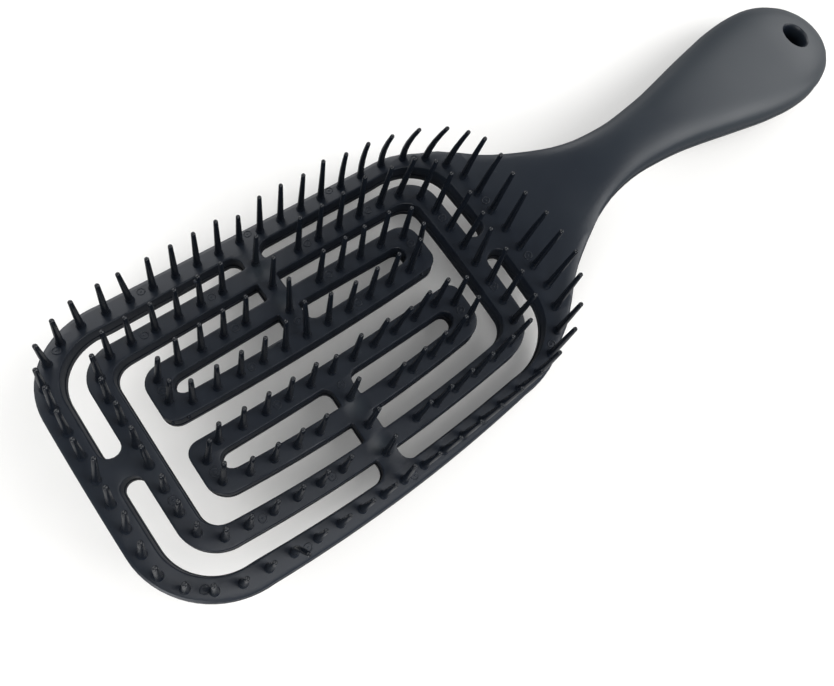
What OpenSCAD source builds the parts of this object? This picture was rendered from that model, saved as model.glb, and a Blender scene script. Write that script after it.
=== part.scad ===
// Vented detangling brush: a bent, crowned head of open ribs with moulded pins,
// and a flared hollow handle with a hanging hole in its rounded end.
// The brush is drawn in its own mould frame, then laid on its back on the ground plane.

/* [Head] */
// Bend radius of the pin face along the head, its centre above the pins
bend_r = 195; // [150:5:300]
// Crown radius of the pin face across the head, its centre below
crown_r = 215; // [150:5:400]
// Depth of a rib, from the pin face to the back
rib_depth = 6; // [5:0.25:8]
// Depth of the front moulding, down to the joint line in every wall
joint_depth = 4; // [3:0.25:4.5]
// Radius of the gentle bow of the slots' long sides
bow_r = 450; // [300:10:900]
// Radius of the bow of the rim's outer sides
rim_bow_r = 390; // [300:10:900]
// Where the head is widest, from its middle towards the tip
rim_bow_shift = 7; // [0:0.5:12]

/* [Widths across the head] */
// Half of the slot on the centre line
centre_slot_half = 3.1; // [2.5:0.1:4]
// Inner rib of a loop
inner_rib_w = 5.5; // [5:0.1:6.5]
// Slot inside a loop
loop_slot_w = 6.2; // [5:0.1:7]
// Outer rib of a loop
outer_rib_w = 5.2; // [4.8:0.1:6]
// Slot between a loop and the ring
gap_slot_w = 5.5; // [4.8:0.1:6.5]
// Rib of the ring
ring_rib_w = 5.6; // [5:0.1:6.5]
// Slot between the ring and the rim
rim_slot_w = 5; // [4.6:0.1:6]
// Rim beside the long sides
rim_side_w = 6.6; // [6:0.1:9]

/* [Lengths along the head] */
// Half length of the slots inside the loops
loop_slot_half = 34.8; // [32:0.2:38]
// Rib across the end of a loop
loop_end_w = 5.8; // [5.2:0.1:6.5]
// Slot past the end of a loop
gap_end_w = 5; // [4.6:0.1:6]
// Ring across its ends
ring_end_w = 5.5; // [5:0.1:6.5]
// Slot past the end of the ring
rim_end_slot_w = 5.2; // [4.6:0.1:6]
// Rim across the tip
rim_tip_w = 6.2; // [5.5:0.1:9]
// Rim across the root, up to the joint line of the handle
rim_root_w = 7.3; // [6.5:0.1:9]
// Width of each crossbar
crossbar_w = 6; // [5:0.1:8]
// Width of the tip bridge and of the root bridge
bridge_w = 5.8; // [5:0.1:8]

/* [Corners] */
// Corner of the slot inside a loop
loop_slot_corner_r = 2.2; // [1.5:0.1:2.8]
// Corner of a loop beside the centre slot
loop_inner_corner_r = 3.5; // [2.5:0.1:5]
// Corner of a loop beside the ring
loop_outer_corner_r = 5; // [4:0.1:7]
// Inner corner of the ring
ring_inner_corner_r = 5.5; // [4:0.1:8]
// Outer corner of the ring
ring_outer_corner_r = 10; // [8:0.25:12]
// Inner corner of the rim
rim_inner_corner_r = 14.3; // [12:0.1:17]
// Outer corner of the rim at the tip
rim_tip_corner_r = 23; // [18:0.5:26]
// Outer corner of the rim where the flare begins
shoulder_r = 18; // [12:0.5:22]
// Haunch where a crossbar lands on the rim and on a loop's inner rib
haunch = 1; // [0.5:0.1:1.5]

/* [Pins] */
// Pitch of the pins along a row
pin_pitch = 6.45; // [6:0.05:7]
// Length of the pins at the tip of the head
pin_len_tip = 14.6; // [10:0.1:20]
// Length of the pins at the root of the head
pin_len_root = 20.5; // [12:0.1:24]
// Radius of a pin where it leaves the rib
pin_base_r = 0.95; // [0.8:0.05:1.3]
// Radius of the rounded end of a pin
pin_tip_r = 0.55; // [0.4:0.05:0.75]
// Lean of the middle pins towards the handle, in degrees
pin_lean = 3.4; // [0:0.1:8]
// How much more the end pins lean towards the middle, in degrees
pin_lean_gain = 6.6; // [0:0.1:10]

/* [Handle] */
// Tip of the handle, from the middle of the head
handle_end_x = 183.2; // [165:0.5:200]
// Widest place of the grip
grip_x = 157; // [140:0.5:162]
// Narrowest place of the neck
neck_x = 98; // [92:0.5:106]
// Half width of the grip at its widest
grip_half_w = 16.95; // [14:0.05:20]
// Half width of the neck
neck_half_w = 8.55; // [7:0.05:11]
// Height of the grip's axis over the middle of the pin face
grip_z = 19.4; // [16:0.2:23]
// Height of the neck's axis
neck_z = 17.2; // [15:0.2:19]
// Height of the axis at the rounded end
end_z = 18.4; // [15:0.2:22]
// Half thickness of the grip
grip_half_t = 7.2; // [6:0.1:9]
// Half thickness of the neck
neck_half_t = 5.6; // [4.6:0.1:7]
// Wall of the two handle shells
shell_wall = 2.4; // [1.8:0.1:3]

/* [Hanging hole] */
// Radius of the hanging hole
hole_r = 4; // [3:0.1:5]
// Centre of the hole to the end of the handle
hole_to_end = 15; // [12:0.25:20]
// Wall of the tube around the hole inside the handle
hole_wall = 2.2; // [1.6:0.1:3]
// Softened edge at both mouths of the hole
hole_rim = 0.8; // [0.4:0.1:1.2]
// Lean of the hole's axis towards the end of the handle, in degrees
hole_lean = 4; // [0:0.5:8]

/* [Hidden] */

// Overrun of every cutting shape past the face it cuts
over = 1;
// Facets of round shapes, of the long bows and of the pins
$fn = 64;
bow_fn = 720;
pin_fn = 20;

// Half widths of the rib edges, from the centre line outwards
y_loop_in = centre_slot_half;
y_slot_in = y_loop_in + inner_rib_w;
y_slot_out = y_slot_in + loop_slot_w;
y_loop_out = y_slot_out + outer_rib_w;
y_ring_in = y_loop_out + gap_slot_w;
y_ring_out = y_ring_in + ring_rib_w;
y_rim_in = y_ring_out + rim_slot_w;
y_rim_out = y_rim_in + rim_side_w;
// Half lengths of the same edges
x_slot = loop_slot_half;
x_loop = x_slot + loop_end_w;
x_ring_in = x_loop + gap_end_w;
x_ring_out = x_ring_in + ring_end_w;
x_rim_in = x_ring_out + rim_end_slot_w;
x_tip = x_rim_in + rim_tip_w;
bar_half = crossbar_w / 2;
bridge_half = bridge_w / 2;
// Fall of a bowed side at a place along it
function bow_drop(x) = bow_r - sqrt(bow_r^2 - x^2);
// Rim corners: centres of the inner and outer ones, and of the shoulder's
function rim_edge(x) = y_rim_out - rim_bow_r + sqrt(rim_bow_r^2 - (x + rim_bow_shift)^2);
corner_x = x_rim_in - rim_inner_corner_r;
corner_y = y_rim_in - bow_drop(corner_x) - rim_inner_corner_r;
tip_corner_x = x_tip - rim_tip_corner_r;
tip_corner_y = rim_edge(-tip_corner_x) - rim_tip_corner_r;
shoulder_y = rim_edge(corner_x) - shoulder_r;
// Strips end here: at the corners of the rim, the ring and the loops, midway between two pins
rim_end_pins = floor(corner_y / pin_pitch);
rim_cut_y = (rim_end_pins + 0.5) * pin_pitch;
ring_cut_x = x_ring_out - ring_outer_corner_r;
ring_end_first_share = 0.45;
ring_last_pin = floor((y_ring_out - ring_outer_corner_r) / pin_pitch - ring_end_first_share);
ring_cut_y = (ring_last_pin + ring_end_first_share + 0.5) * pin_pitch;
loop_cut_x = x_slot - loop_slot_corner_r / 2;
loop_mid_y = (y_slot_in + y_slot_out) / 2;
// Plan shapes are carried from below the head to above it
plan_low = -rib_depth - y_rim_out;
plan_high = bend_r - over;

// The handle shells begin where the rim's root ends
joint_x = x_rim_in + rim_root_w;

// Height of the head's surfaces over the middle of the pin face
function layer_r(y, depth) = bend_r + crown_r - sqrt((crown_r - depth)^2 - y^2);
function face_z(x, y, depth = 0) = bend_r - sqrt(layer_r(y, depth)^2 - x^2);

// Smooth curve through [place, value] stations, level at the last one
function slope_at(s, i) = i == 0 ? (s[1][1] - s[0][1]) / (s[1][0] - s[0][0])
  : i == len(s) - 1 ? 0
  : (s[i + 1][1] - s[i - 1][1]) / (s[i + 1][0] - s[i - 1][0]);
function cubic(t, a, b, ta, tb) =
  (2 * t^3 - 3 * t^2 + 1) * a + (t^3 - 2 * t^2 + t) * ta + (3 * t^2 - 2 * t^3) * b + (t^3 - t^2) * tb;
function span_of(s, x, i = 0) = i >= len(s) - 2 || x < s[i + 1][0] ? i : span_of(s, x, i + 1);
function along(s, x) = let (i = span_of(s, x), step = s[i + 1][0] - s[i][0])
  cubic((x - s[i][0]) / step, s[i][1], s[i + 1][1], slope_at(s, i) * step, slope_at(s, i + 1) * step);

// Half width of the outline from the shoulder to the end of the handle
flare_angle = 45;
flare_x = corner_x + shoulder_r * sin(flare_angle);
flare_y = shoulder_y + shoulder_r * cos(flare_angle);
flare_reach = neck_x - flare_x;
flare_drop = flare_y - neck_half_w;
grip_reach = grip_x - neck_x;
grip_gain = grip_half_w - neck_half_w;
// Shares of the reach to the neck and of the fall to it, then of the reach and gain to the grip
flare_shares = [
  [0.12, 0.865], [0.19, 0.735], [0.305, 0.52], [0.42, 0.375], [0.54, 0.25], [0.675, 0.125], [0.815, 0.04]
];
grip_shares = [[0.135, 0.045], [0.27, 0.16], [0.405, 0.34], [0.54, 0.54], [0.68, 0.735], [0.815, 0.9]];
outline_stations = concat(
  [[flare_x, flare_y]],
  [for (s = flare_shares) [flare_x + s[0] * flare_reach, neck_half_w + s[1] * flare_drop]],
  [[neck_x, neck_half_w]],
  [for (s = grip_shares) [neck_x + s[0] * grip_reach, neck_half_w + s[1] * grip_gain]],
  [[grip_x, grip_half_w]]
);
// The end of the grip is rounded, in plan and in thickness, down to a small blunt end
end_power = 2.2;
end_flat_share = 0.9945;
end_thin_power = 0.7;
end_reach = handle_end_x - grip_x;
function end_round(x) = x < grip_x ? 1 : sqrt(1 - (end_flat_share * (x - grip_x) / end_reach)^end_power);
function half_w(x) = x < flare_x ? shoulder_y + sqrt(shoulder_r^2 - (x - corner_x)^2)
  : x < grip_x ? along(outline_stations, x)
  : grip_half_w * end_round(x);

// Height of the seat between the handle shells, and the thickness above and below it
joint_z = face_z(joint_x, 0, joint_depth);
flare_rise_share = 0.5;
grip_rise_share = 1.2;
seat_stations = [
  [joint_x, joint_z],
  [(joint_x + neck_x) / 2, joint_z + (neck_z - joint_z) * flare_rise_share],
  [neck_x, neck_z],
  [neck_x + 0.4 * grip_reach, neck_z + (grip_z - neck_z) * grip_rise_share],
  [grip_x, grip_z],
  [handle_end_x, end_z]
];
function thick_stations(joint_t) =
  [[joint_x, joint_t], [neck_x, neck_half_t], [grip_x, grip_half_t], [handle_end_x, grip_half_t]];
function seat_z(x) = along(seat_stations, x);
function thick(x, up) = end_round(x)^end_thin_power
  * along(thick_stations(up > 0 ? joint_depth : rib_depth - joint_depth), x);

// Stations along the handle: even to the grip, closer together round its end
even_steps = 26;
end_steps = 12;
station_xs = concat(
  [for (i = [0:even_steps]) joint_x + (grip_x - joint_x) * i / even_steps],
  [for (i = [1:end_steps]) grip_x + end_reach * sin(90 * i / end_steps)]
);

// Rest: the brush lies on the back edges of its rim and on the back of its grip
back_r = layer_r(y_rim_out, rib_depth);
function grip_low(a) = min([for (x = station_xs) (seat_z(x) - thick(x, -1)) * cos(a) - x * sin(a)]);
function rest_miss(a) = bend_r * cos(a) - back_r - grip_low(a);
function rest_angle(low = 0, high = 20, n = 24) = let (a = (low + high) / 2)
  n == 0 ? a : rest_miss(a) < 0 ? rest_angle(a, high, n - 1) : rest_angle(low, a, n - 1);
rest_tilt = rest_angle();
rest_low_z = bend_r * cos(rest_tilt) - back_r;
rest_tip_x = face_z(x_tip, tip_corner_y, rib_depth) * sin(rest_tilt) - x_tip * cos(rest_tilt);
rest_end_x = max([for (x = station_xs) x * cos(rest_tilt) + (seat_z(x) + thick(x, 1)) * sin(rest_tilt)]);

module lay_down() {
  translate([-(rest_tip_x + rest_end_x) / 2, 0, -rest_low_z]) rotate([0, rest_tilt, 0]) children();
}

// Layer of the bent, crowned head between two depths under the pin face
module head_layer(top, bottom) {
  translate([0, 0, bend_r]) rotate([90, 0, 0]) rotate_extrude($fn = bow_fn) intersection() {
    translate([bend_r + crown_r, 0]) difference() {
      circle(crown_r - top, $fn = bow_fn);
      circle(crown_r - bottom, $fn = bow_fn);
    }
    translate([bend_r - over, -y_rim_out - over])
      square([back_r - bend_r + 2 * over, 2 * (y_rim_out + over)]);
  }
}

// A plan shape carried up through the head and cut to one of its two layers
module rib(top, bottom) {
  intersection() {
    translate([0, 0, plan_low]) linear_extrude(plan_high - plan_low) children();
    head_layer(top, bottom);
  }
}
module front_rib() { rib(0, joint_depth) children(); }
module back_rib() { rib(joint_depth, rib_depth) children(); }

// Rectangle between two corners, and what lies outside a rounded corner whose centre is given
module patch(x0, y0, x1, y1) { translate([x0, y0]) square([x1 - x0, y1 - y0]); }
module off_corner(x, y, r) {
  translate([x, y]) difference() {
    square(r + over);
    circle(r);
  }
}
module four_ways() { for (mx = [0, 1], my = [0, 1]) mirror([mx, 0]) mirror([0, my]) children(); }
module to_side(side) { mirror([0, side < 0 ? 1 : 0, 0]) children(); }
module to_end(end) { mirror([end < 0 ? 1 : 0, 0, 0]) children(); }

// Pad with bowed long sides and rounded corners
module bows(half_y) {
  translate([0, half_y - bow_r]) circle(bow_r, $fn = bow_fn);
}
module pad(half_x, half_y, r) {
  difference() {
    intersection() {
      patch(-half_x, -half_y, half_x, half_y);
      bows(half_y);
      mirror([0, 1]) bows(half_y);
    }
    four_ways() off_corner(half_x - r, half_y - bow_drop(half_x - r) - r, r);
  }
}
// The part of a pad on one side of the centre line, from a straight inner edge
module half_pad(half_x, y0, half_y, inner_r, outer_r) {
  difference() {
    intersection() {
      pad(half_x, half_y, outer_r);
      patch(-half_x, y0, half_x, half_y);
    }
    for (mx = [0, 1]) mirror([mx, 0]) mirror([0, 1]) off_corner(half_x - inner_r, -y0 - inner_r, inner_r);
  }
}

// Rim: tip and sides as far as the root corners, and the root with the start of the flare
module rim_bows() {
  translate([-rim_bow_shift, y_rim_out - rim_bow_r]) circle(rim_bow_r, $fn = bow_fn);
}
module rim_plan() {
  difference() {
    intersection() {
      patch(-x_tip, -y_rim_out, corner_x, y_rim_out);
      rim_bows();
      mirror([0, 1]) rim_bows();
    }
    for (my = [0, 1]) mirror([1, 0]) mirror([0, my]) off_corner(tip_corner_x, tip_corner_y, rim_tip_corner_r);
    pad(x_rim_in, y_rim_in, rim_inner_corner_r);
  }
}
module rim_tip_plan() {
  intersection() {
    rim_plan();
    patch(-x_tip - over, -rim_cut_y, -corner_x, rim_cut_y);
  }
}
module rim_tip_corner_plan() {
  intersection() {
    rim_plan();
    patch(-x_tip, rim_cut_y, -corner_x, y_rim_out + over);
  }
}
module rim_side_plan() {
  intersection() {
    rim_plan();
    patch(-corner_x, 0, corner_x, y_rim_out + over);
  }
}
module rim_end_plan() {
  edge_steps = 24;
  edge = [for (i = [0:edge_steps]) let (x = corner_x + (joint_x - corner_x) * i / edge_steps) [x, half_w(x)]];
  difference() {
    polygon(concat(edge, [for (i = [edge_steps:-1:0]) [edge[i][0], -edge[i][1]]]));
    pad(x_rim_in, y_rim_in, rim_inner_corner_r);
  }
}
module rim_root_plan() {
  intersection() {
    rim_end_plan();
    patch(corner_x, -rim_cut_y, joint_x + over, rim_cut_y);
  }
}
module rim_root_corner_plan() {
  intersection() {
    rim_end_plan();
    patch(corner_x - over, rim_cut_y, joint_x + over, y_rim_out);
  }
}
module ring_plan() {
  difference() {
    pad(x_ring_out, y_ring_out, ring_outer_corner_r);
    pad(x_ring_in, y_ring_in, ring_inner_corner_r);
  }
}
module loop_plan() {
  difference() {
    half_pad(x_loop, y_loop_in, y_loop_out, loop_inner_corner_r, loop_outer_corner_r);
    half_pad(x_slot, y_slot_in, y_slot_out, loop_slot_corner_r, loop_slot_corner_r);
  }
}

// Parts of the ring and of a loop at one end
module ring_end_plan(end) {
  intersection() {
    ring_plan();
    to_end(end) patch(x_ring_in - over, -ring_cut_y, x_ring_out + over, ring_cut_y);
  }
}
module ring_arm_plan(end) {
  intersection() {
    ring_plan();
    to_end(end) difference() {
      patch(bar_half, 0, x_ring_out, y_ring_out + over);
      patch(x_ring_in - over, -over, x_ring_out + over, ring_cut_y);
    }
  }
}
module ring_corner_plan(end) {
  intersection() {
    ring_plan();
    to_end(end) patch(ring_cut_x, ring_cut_y, x_ring_out, y_ring_out + over);
  }
}
module loop_arm_plan() {
  intersection() {
    loop_plan();
    union() {
      patch(-x_loop - over, y_loop_in - over, 0, loop_mid_y);
      patch(-x_loop - over, loop_mid_y - over, -bar_half, y_loop_out + over);
    }
  }
}

// Crossbar from a loop's inner rib to the rim, haunched where it lands on them
module crossbar_plan() {
  foot = bar_half + haunch;
  intersection() {
    polygon([
      [-foot, y_slot_in], [foot, y_slot_in], [bar_half, y_slot_in + haunch], [bar_half, y_rim_in - haunch],
      [foot + over, y_rim_in + over], [-foot - over, y_rim_in + over],
      [-bar_half, y_rim_in - haunch], [-bar_half, y_slot_in + haunch]
    ]);
    pad(x_rim_in, y_rim_in, rim_inner_corner_r);
  }
}
// Bridge from the ring to the rim, its sides left by the round ends of the slots
slot_round_share = 1.06;
module bridge_plan(end) {
  slot_half = rim_end_slot_w / 2;
  round_r = slot_half * slot_round_share;
  landing = bridge_half + round_r - sqrt(round_r^2 - slot_half^2);
  to_end(end) difference() {
    patch(x_ring_out, -landing, x_rim_in, landing);
    for (side = [-1, 1]) translate([x_ring_out + slot_half, side * (bridge_half + round_r)]) circle(round_r);
  }
}

// A pin stands on the face, leaning along the head, with a rounded end
function pin_len(x) = pin_len_tip + (pin_len_root - pin_len_tip) * (x + x_tip) / (joint_x + x_tip);
function pin_angle(x) = pin_lean - pin_lean_gain * x / x_tip;
module pin(p) {
  x = p[0];
  length = pin_len(x) - pin_tip_r;
  translate([x, p[1], face_z(x, p[1]) - pin_base_r]) rotate([0, pin_angle(x), 0]) {
    cylinder(h = length + pin_base_r, r1 = pin_base_r, r2 = pin_tip_r, $fn = pin_fn);
    translate([0, 0, length + pin_base_r]) sphere(pin_tip_r, $fn = pin_fn);
  }
}
module pins(places) { for (p = places) pin(p); }

// Rows of pins on one quarter of the head; they are flipped to the others
function flip_x(places) = [for (p = places) [-p[0], p[1]]];
function flip_y(places) = [for (p = places) [p[0], -p[1]]];
function to_end_places(places, end) = end < 0 ? flip_x(places) : places;

rim_row_share = 0.477;
rim_tip_row_share = 0.435;
rim_root_row_share = 0.52;
rim_row_y = y_rim_in + rim_side_w * rim_row_share;
rim_row_corner_r = rim_inner_corner_r + rim_side_w * rim_row_share;
rim_corner_angles = [10.5, 31, 51.5, 72];
rim_side_last = floor((corner_x - pin_base_r) / pin_pitch);
rim_side_xs = [for (k = [-rim_side_last:rim_side_last]) k * pin_pitch];
rim_side_pins = [for (x = rim_side_xs) [x, rim_row_y - bow_drop(x)]];
rim_corner_pins = [for (a = rim_corner_angles)
  [corner_x + rim_row_corner_r * sin(a), corner_y + rim_row_corner_r * cos(a)]];
rim_end_ys = [for (k = [-rim_end_pins:rim_end_pins]) k * pin_pitch];
rim_tip_pins = [for (y = rim_end_ys) [-x_rim_in - rim_tip_w * rim_tip_row_share, y]];
rim_root_pins = [for (y = rim_end_ys) [x_rim_in + rim_root_w * rim_root_row_share, y]];

// Shares of the pitch from the middle to a row's first pin, and in from the ring's corner
ring_first_share = 1.8;
ring_corner_shares = [[0.8, 0.36], [0.12, 1.02]];
ring_row_x = x_ring_in + ring_end_w / 2;
ring_row_y = y_ring_in + ring_rib_w / 2;
ring_side_last = floor((ring_cut_x - pin_base_r) / pin_pitch - ring_first_share);
ring_side_xs = [for (k = [0:ring_side_last]) (ring_first_share + k) * pin_pitch];
ring_side_pins = [for (x = ring_side_xs) [x, ring_row_y - bow_drop(x)]];
ring_corner_pins = [for (s = ring_corner_shares)
  [ring_row_x - s[0] * pin_pitch, ring_row_y - s[1] * pin_pitch]];
ring_end_pins = [for (k = [0:ring_last_pin]) [ring_row_x, (ring_end_first_share + k) * pin_pitch]];

loop_first_share = 1.75;
loop_pitch_share = 1.015;
loop_end_shares = [0.45, 0.37];
loop_row_in_y = (y_loop_in + y_slot_in) / 2;
loop_row_out_y = (y_slot_out + y_loop_out) / 2;
loop_inner_last = floor(x_slot / (pin_pitch * loop_pitch_share));
loop_inner_pins = [for (k = [-loop_inner_last:loop_inner_last])
  [k * pin_pitch * loop_pitch_share, loop_row_in_y]];
loop_outer_last = floor((loop_cut_x - pin_base_r) / pin_pitch - loop_first_share);
loop_outer_xs = [for (k = [0:loop_outer_last]) (loop_first_share + k) * pin_pitch];
loop_outer_pins = [for (x = loop_outer_xs) [x, loop_row_out_y - bow_drop(x)]];
loop_end_pins = [
  [x_slot + loop_end_w * loop_end_shares[0], y_slot_in],
  [x_slot + loop_end_w * loop_end_shares[1], y_slot_out]
];
bar_pins = [for (k = [1:3]) [0, loop_row_in_y + (rim_row_y - loop_row_in_y) * k / 4]];

module front_color() { color([0.11, 0.12, 0.135]) children(); }
module back_color() { color([0.09, 0.10, 0.11]) children(); }

// Front strips of the rim, each with its pins
module tip_rim_strip() {
  front_color() lay_down() {
    front_rib() rim_tip_plan();
    pins(rim_tip_pins);
  }
}
module root_rim_strip() {
  front_color() lay_down() {
    front_rib() rim_root_plan();
    pins(rim_root_pins);
  }
}
module tip_rim_corner(side) {
  front_color() lay_down() to_side(side) {
    front_rib() rim_tip_corner_plan();
    pins(flip_x(rim_corner_pins));
  }
}
module root_rim_corner(side) {
  front_color() lay_down() to_side(side) {
    front_rib() rim_root_corner_plan();
    pins(rim_corner_pins);
  }
}
module left_tip_rim_corner() { tip_rim_corner(1); }
module left_root_rim_corner() { root_rim_corner(1); }
module right_tip_rim_corner() { tip_rim_corner(-1); }
module right_root_rim_corner() { root_rim_corner(-1); }
module side_rim_strip(side) {
  front_color() lay_down() to_side(side) {
    front_rib() rim_side_plan();
    pins(rim_side_pins);
  }
}
module left_rim_strip() { side_rim_strip(1); }
module right_rim_strip() { side_rim_strip(-1); }

// Front strips of the ring
module end_ring_strip(end) {
  front_color() lay_down() {
    front_rib() ring_end_plan(end);
    row = to_end_places(ring_end_pins, end);
    pins(concat(row, flip_y(row)));
  }
}
module tip_ring_strip() { end_ring_strip(-1); }
module root_ring_strip() { end_ring_strip(1); }
module ring_corner(side, end) {
  front_color() lay_down() to_side(side) {
    front_rib() ring_corner_plan(end);
    pins(to_end_places(ring_corner_pins, end));
  }
}
module left_tip_ring_corner() { ring_corner(1, -1); }
module left_root_ring_corner() { ring_corner(1, 1); }
module right_tip_ring_corner() { ring_corner(-1, -1); }
module right_root_ring_corner() { ring_corner(-1, 1); }
module side_ring_strip(side, end) {
  front_color() lay_down() to_side(side) {
    front_rib() intersection() {
      ring_plan();
      to_end(end) patch(bar_half, 0, ring_cut_x, y_ring_out + over);
    }
    pins(to_end_places(ring_side_pins, end));
  }
}
module left_ring_tip_strip() { side_ring_strip(1, -1); }
module left_ring_root_strip() { side_ring_strip(1, 1); }
module right_ring_tip_strip() { side_ring_strip(-1, -1); }
module right_ring_root_strip() { side_ring_strip(-1, 1); }

// Front strips of the crossbars and bridges
module crossbar_strip(side) {
  front_color() lay_down() to_side(side) {
    front_rib() crossbar_plan();
    pins(bar_pins);
  }
}
module left_crossbar_strip() { crossbar_strip(1); }
module right_crossbar_strip() { crossbar_strip(-1); }
module tip_bridge_strip() { front_color() lay_down() front_rib() bridge_plan(-1); }
module root_bridge_strip() { front_color() lay_down() front_rib() bridge_plan(1); }

// Front strips of the loops: the inner ones are mitred against the ends
module inner_mitre() {
  top_x = x_slot - (loop_mid_y - y_slot_in) * loop_end_w / inner_rib_w;
  polygon([[-x_loop, y_loop_in], [x_loop, y_loop_in], [top_x, loop_mid_y], [-top_x, loop_mid_y]]);
}
module loop_inner_strip(side) {
  front_color() lay_down() to_side(side) {
    front_rib() intersection() {
      loop_plan();
      inner_mitre();
    }
    pins(loop_inner_pins);
  }
}
module loop_outer_strip(side, end) {
  front_color() lay_down() to_side(side) {
    to_end(-end) front_rib() intersection() {
      loop_plan();
      patch(-loop_cut_x, loop_mid_y, -bar_half, y_loop_out);
    }
    pins(to_end_places(loop_outer_pins, end));
  }
}
module loop_end_strip(side, end) {
  front_color() lay_down() to_side(side) {
    front_rib() intersection() {
      loop_plan();
      to_end(end) difference() {
        patch(loop_cut_x, y_loop_in, x_loop, y_loop_out);
        inner_mitre();
      }
    }
    pins(to_end_places(loop_end_pins, end));
  }
}
module left_loop_inner_strip() { loop_inner_strip(1); }
module left_loop_outer_tip_strip() { loop_outer_strip(1, -1); }
module left_loop_outer_root_strip() { loop_outer_strip(1, 1); }
module left_loop_tip_end_strip() { loop_end_strip(1, -1); }
module left_loop_root_end_strip() { loop_end_strip(1, 1); }
module right_loop_inner_strip() { loop_inner_strip(-1); }
module right_loop_outer_tip_strip() { loop_outer_strip(-1, -1); }
module right_loop_outer_root_strip() { loop_outer_strip(-1, 1); }
module right_loop_tip_end_strip() { loop_end_strip(-1, -1); }
module right_loop_root_end_strip() { loop_end_strip(-1, 1); }

// Back moulding of the head, rib by rib
module tip_rim_back() { back_color() lay_down() back_rib() rim_tip_plan(); }
module root_rim_back() { back_color() lay_down() back_rib() rim_root_plan(); }
module left_rim_back() { back_color() lay_down() back_rib() rim_side_plan(); }
module right_rim_back() { back_color() lay_down() to_side(-1) back_rib() rim_side_plan(); }
module left_tip_rim_corner_back() { back_color() lay_down() back_rib() rim_tip_corner_plan(); }
module left_root_rim_corner_back() { back_color() lay_down() back_rib() rim_root_corner_plan(); }
module right_tip_rim_corner_back() { back_color() lay_down() to_side(-1) back_rib() rim_tip_corner_plan(); }
module right_root_rim_corner_back() { back_color() lay_down() to_side(-1) back_rib() rim_root_corner_plan(); }
module tip_ring_back() { back_color() lay_down() back_rib() ring_end_plan(-1); }
module root_ring_back() { back_color() lay_down() back_rib() ring_end_plan(1); }
module ring_back(side, end) { back_color() lay_down() to_side(side) back_rib() ring_arm_plan(end); }
module left_tip_ring_back() { ring_back(1, -1); }
module left_root_ring_back() { ring_back(1, 1); }
module right_tip_ring_back() { ring_back(-1, -1); }
module right_root_ring_back() { ring_back(-1, 1); }
module loop_back(side, end) { back_color() lay_down() to_side(side) to_end(-end) back_rib() loop_arm_plan(); }
module left_loop_tip_back() { loop_back(1, -1); }
module left_loop_root_back() { loop_back(1, 1); }
module right_loop_tip_back() { loop_back(-1, -1); }
module right_loop_root_back() { loop_back(-1, 1); }
module crossbar_back(side) { back_color() lay_down() to_side(side) back_rib() crossbar_plan(); }
module left_crossbar_back() { crossbar_back(1); }
module right_crossbar_back() { crossbar_back(-1); }
module tip_bridge_back() { back_color() lay_down() back_rib() bridge_plan(-1); }
module root_bridge_back() { back_color() lay_down() back_rib() bridge_plan(1); }

// Closed skin over a row of loops, where points k and n - k of every loop lie across from each other
module loft(loops) {
  n = len(loops[0]);
  m = n / 2;
  last = (len(loops) - 1) * n;
  skin = [for (i = [0:len(loops) - 2], k = [0:n - 1]) let (a = i * n + k, b = i * n + (k + 1) % n)
    each [[a, b + n, b], [a, a + n, b + n]]];
  cap = concat([[0, 1, n - 1]], [[m - 1, m, m + 1]],
    [for (k = [1:m - 2]) each [[k, k + 1, n - k - 1], [k, n - k - 1, n - k]]]);
  end_cap = [for (f = cap) [last + f[2], last + f[1], last + f[0]]];
  polyhedron([for (l = loops) each l], concat(skin, cap, end_cap));
}

// Sections of the handle: nearly square-edged at the head, rounder towards the grip
arc_steps = 16;
plate_power = 16;
neck_power = 3.2;
grip_power = 2.8;
function to_neck(x) = min(1, (x - joint_x) / (neck_x - joint_x));
function power_at(x) = x < neck_x ? plate_power * (neck_power / plate_power)^to_neck(x)
  : neck_power + (grip_power - neck_power) * min(1, (x - neck_x) / grip_reach);
function crown_z(x, y) = seat_z(x) - (1 - to_neck(x)) * y^2 / (2 * crown_r);
function arc_reach(x, a) = (abs(cos(a))^power_at(x) + abs(sin(a))^power_at(x))^(-1 / power_at(x));
function arc_y(x, a, inset) = (half_w(x) - inset) * cos(a) * arc_reach(x, a);
function arc_z(x, a, inset) = (thick(x, sin(a)) - inset) * sin(a) * arc_reach(x, a);
function arc_point(x, a, inset) = let (y = arc_y(x, a, inset)) [x, y, crown_z(x, y) + arc_z(x, a, inset)];
function seat_point(x, a) = let (y = half_w(x) * cos(a)) [x, y, crown_z(x, y)];
module half_shell(up) {
  turn = [for (j = [0:arc_steps]) (up > 0 ? 0 : 180) + 180 * j / arc_steps];
  loft([for (x = station_xs) concat(
    [for (a = turn) arc_point(x, a, 0)],
    [for (j = [arc_steps - 1:-1:1]) seat_point(x, turn[j])]
  )]);
}
cavity_steps = 30;
module cavity() {
  from = joint_x + 0.7 * (neck_x - joint_x);
  reach = handle_end_x - 2 * shell_wall - from;
  loft([for (i = [0:cavity_steps]) let (x = from + reach * sin(90 * i / cavity_steps))
    [for (j = [0:2 * arc_steps - 1]) arc_point(x, 180 * j / arc_steps, shell_wall)]]);
}
hole_x = handle_end_x - hole_to_end;
module at_hole(up) {
  translate([hole_x, 0, seat_z(hole_x)]) rotate([0, hole_lean, 0]) mirror([0, 0, up > 0 ? 0 : 1]) children();
}
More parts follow.
